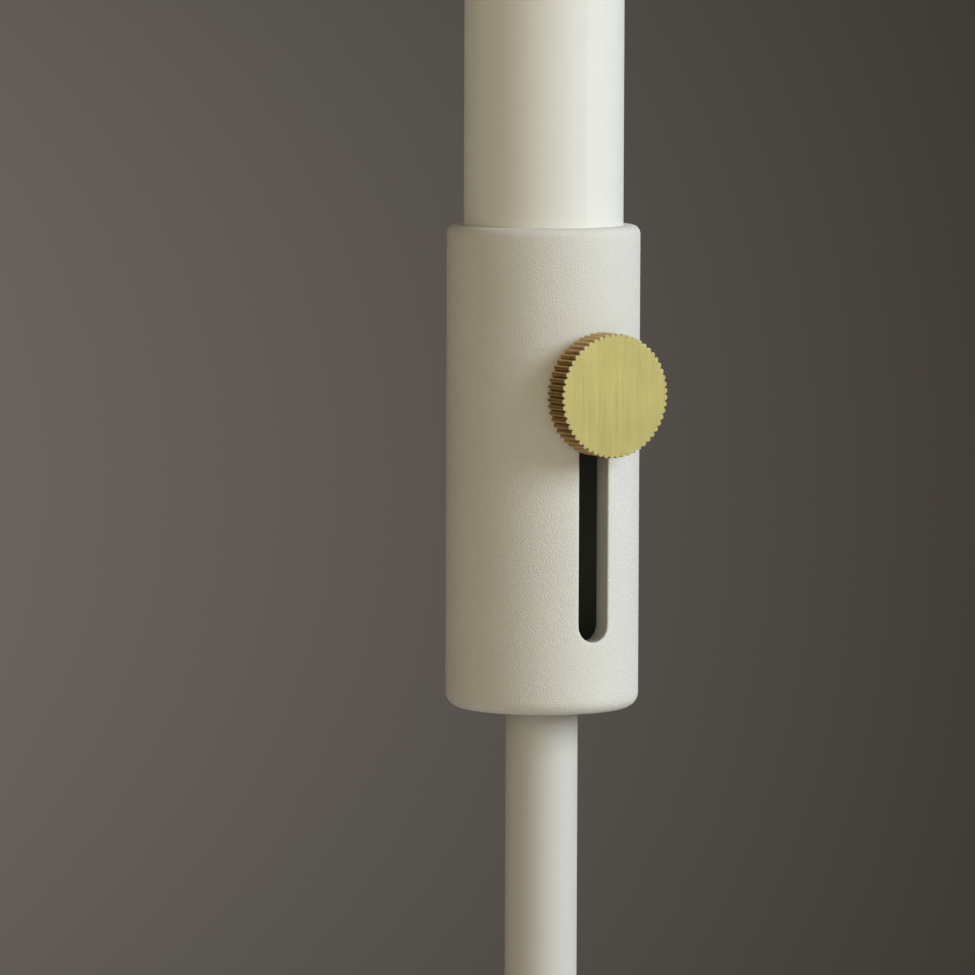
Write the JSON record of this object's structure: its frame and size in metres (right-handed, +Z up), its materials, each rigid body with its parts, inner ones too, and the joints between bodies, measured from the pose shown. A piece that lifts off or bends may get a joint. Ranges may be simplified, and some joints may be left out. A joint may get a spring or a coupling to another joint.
{
  "type": "arc floor lamp",
  "caption": "Arc floor lamp: round weighted base, swivelling tubular mast and half-circle arc, and a slotted sleeve with a knurled thumb screw that sets the height of a rod with a dome shade.",
  "frame": {"origin": "on the floor plane, centre of the pad's underside, on the mast's axis", "axes": "+Z up along the mast, +X from the mast towards the arc's free end, Y completes a right-handed frame; the thumb screw faces +X"},
  "size_m": [1.2204, 0.35, 2.1064],
  "materials": {
    "cream_texture": "matte",
    "cream_satin": "satin",
    "painted_aluminium": "satin",
    "brass": "satin",
    "plain_steel": "satin",
    "cast_iron": "matte",
    "black_anodised": "satin",
    "black_plastic": "matte",
    "phenolic": "satin",
    "black_rubber": "matte",
    "foam_rubber": "matte",
    "cable_sheath": "matte",
    "opal_glass": "satin"
  },
  "bodies": {
    "base": {"base_pad": "foam_rubber", "base_weight": "cast_iron", "base_cover": "cream_texture", "mast_bolt": "plain_steel", "mast_bolt_washer": "plain_steel", "foot_dowel": "plain_steel", "foot_plug": "plain_steel", "foot_collar": "cream_texture", "cable_grommet": "black_rubber", "mast_lower": "cream_satin", "mast_cable": "cable_sheath", "swivel_spigot": "plain_steel", "swivel_stop_pin": "plain_steel", "swivel_washer": "black_plastic"},
    "arm": {"swivel_ring": "brass", "swivel_bush_lower": "black_plastic", "swivel_bush_upper": "black_plastic", "mast_upper": "cream_satin", "arc_joiner": "plain_steel", "arc_tube": "cream_satin", "arc_cable": "cable_sheath", "grub_screws": "plain_steel", "height_sleeve": "cream_texture", "rod_bush": "black_plastic"},
    "drop": {"slide_carriage": "black_plastic", "carriage_pin": "plain_steel", "thread_insert": "brass", "slide_bar": "black_anodised", "rod_joiner": "plain_steel", "drop_rod": "cream_satin", "drop_cable": "cable_sheath", "cup_nipple": "brass", "cup_nut": "plain_steel", "shade_cup": "cream_texture", "lampholder": "phenolic", "shade_ring": "phenolic", "shade": "painted_aluminium", "bulb_cap": "brass", "bulb_glass": "opal_glass", "switch_body": "phenolic"},
    "clamp": {"clamp_saddle": "brass"},
    "knob": {"thumbscrew": "brass"},
    "button": {"switch_button": "brass"}
  },
  "joints": [
    {"name": "arc_swivel", "type": "hinge", "parent": "base", "child": "arm", "pos_m": [0, 0, 0.8216], "axis": [0, 0, 1], "range_deg": [-165, 165]},
    {"name": "height_slide", "type": "slide", "parent": "arm", "child": "drop", "axis": [0, 0, -1], "range_m": [0, 0.047]},
    {"name": "clamp_back_off", "type": "slide", "parent": "drop", "child": "clamp", "axis": [1, 0, 0], "range_m": [0, 0.0015]},
    {"name": "knob_turn", "type": "hinge", "parent": "clamp", "child": "knob", "pos_m": [0.9216, 0, 1.5362], "axis": [1, 0, 0], "range_deg": [0, 540]},
    {"name": "switch_press", "type": "slide", "parent": "drop", "child": "button", "axis": [-1, 0, 0], "range_m": [0, 0.0025], "stiffness_N_per_m": 400, "springref_m": -0.001}
  ],
  "couplings": [
    {"joint": "knob_turn", "follows": "clamp_back_off", "rad_per_m": 6283.2}
  ]
}
